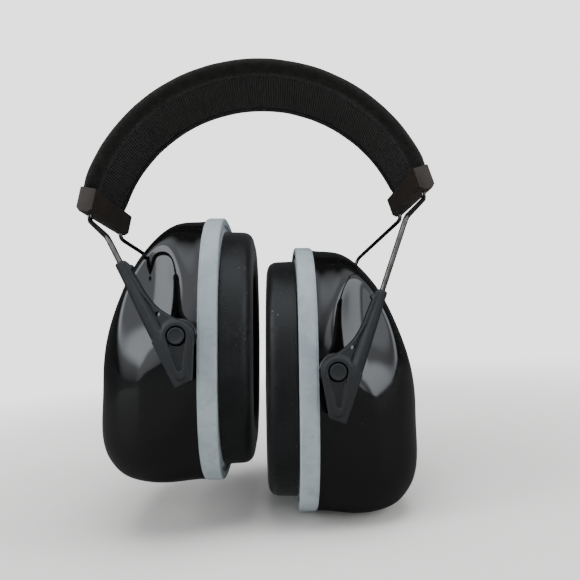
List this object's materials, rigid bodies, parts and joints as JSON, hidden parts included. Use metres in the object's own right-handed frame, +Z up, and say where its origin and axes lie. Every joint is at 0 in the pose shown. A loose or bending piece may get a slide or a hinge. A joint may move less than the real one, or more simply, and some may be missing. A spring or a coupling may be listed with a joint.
{
  "type": "earmuff hearing protector",
  "caption": "Over-ear hearing protector: deep oval cups with soft cushions that slide and tilt on sprung wire legs under a padded, flexing fabric headband.",
  "frame": {"origin": "middle of the underside of the whole earmuff's box, at rest", "axes": "+Z up to the crown of the headband, +X to the right cup, -Y towards the front"},
  "size_m": [0.1496, 0.1002, 0.1948],
  "materials": {
    "band_fabric": "plain woven polyester",
    "band_mesh": "ribbed spacer mesh",
    "open_cell_foam": "dark open-cell foam",
    "spring_steel": "drawn and polished",
    "cap_plastic": "satin, lightly worn",
    "arm_plastic": "fine matte grain",
    "pin_plastic": "satin",
    "shell_plastic": "high gloss",
    "ring_plastic": "satin, lightly scratched",
    "plate_plastic": "satin",
    "cushion_skin": "smooth synthetic leather"
  },
  "bodies": {
    "headband": {"band_cover_crown": "band_fabric", "comfort_pad_crown": "band_mesh", "band_foam_crown": "open_cell_foam", "spring_wire_front_crown": "spring_steel", "spring_wire_rear_crown": "spring_steel"},
    "left_band": {"band_cover_left": "band_fabric", "comfort_pad_left": "band_mesh", "band_foam_left": "open_cell_foam", "spring_wire_front_left": "spring_steel", "spring_wire_rear_left": "spring_steel", "left_end_cap": "cap_plastic"},
    "left_front_arm": {"left_slide_arm_front": "arm_plastic"},
    "left_rear_arm": {"left_slide_arm_rear": "arm_plastic"},
    "left_cup": {"left_cup_shell": "shell_plastic", "left_seat_ring": "ring_plastic", "left_cushion_plate": "plate_plastic", "left_cushion_foam": "open_cell_foam", "left_cushion_cover": "cushion_skin", "left_liner_foam": "open_cell_foam", "left_pivot_pin_front": "pin_plastic", "left_pivot_pin_rear": "pin_plastic"},
    "right_band": {"band_cover_right": "band_fabric", "comfort_pad_right": "band_mesh", "band_foam_right": "open_cell_foam", "spring_wire_front_right": "spring_steel", "spring_wire_rear_right": "spring_steel", "right_end_cap": "cap_plastic"},
    "right_front_arm": {"right_slide_arm_front": "arm_plastic"},
    "right_rear_arm": {"right_slide_arm_rear": "arm_plastic"},
    "right_cup": {"right_cup_shell": "shell_plastic", "right_seat_ring": "ring_plastic", "right_cushion_plate": "plate_plastic", "right_cushion_foam": "open_cell_foam", "right_cushion_cover": "cushion_skin", "right_liner_foam": "open_cell_foam", "right_pivot_pin_front": "pin_plastic", "right_pivot_pin_rear": "pin_plastic"}
  },
  "joints": [
    {"name": "left_band_flex", "type": "hinge", "parent": "headband", "child": "left_band", "pos_m": [-0.02688, 0, 0.19011], "axis": [0, 1, 0], "range_deg": [0, 35]},
    {"name": "left_front_slide", "type": "slide", "parent": "left_band", "child": "left_front_arm", "axis": [0.3987, 0, -0.9171], "range_m": [-0.008, 0.0215]},
    {"name": "left_rear_slide", "type": "slide", "parent": "left_band", "child": "left_rear_arm", "axis": [0.3987, 0, -0.9171], "range_m": [-0.008, 0.0215]},
    {"name": "left_cup_tilt", "type": "hinge", "parent": "left_front_arm", "child": "left_cup", "pos_m": [-0.03075, 0, 0.07563], "axis": [0, 1, 0], "range_deg": [-9, 9]},
    {"name": "right_band_flex", "type": "hinge", "parent": "headband", "child": "right_band", "pos_m": [0.02688, 0, 0.19011], "axis": [0, 1, 0], "range_deg": [-35, 0]},
    {"name": "right_front_slide", "type": "slide", "parent": "right_band", "child": "right_front_arm", "axis": [-0.3987, 0, -0.9171], "range_m": [-0.026, 0.0035]},
    {"name": "right_rear_slide", "type": "slide", "parent": "right_band", "child": "right_rear_arm", "axis": [-0.3987, 0, -0.9171], "range_m": [-0.026, 0.0035]},
    {"name": "right_cup_tilt", "type": "hinge", "parent": "right_front_arm", "child": "right_cup", "pos_m": [0.02357, 0, 0.05912], "axis": [0, 1, 0], "range_deg": [-9, 9]}
  ],
  "couplings": [
    {"joint": "left_rear_slide", "follows": "left_front_slide", "ratio": 1},
    {"joint": "right_rear_slide", "follows": "right_front_slide", "ratio": 1},
    {"joint": "right_band_flex", "follows": "left_band_flex", "ratio": -1}
  ]
}
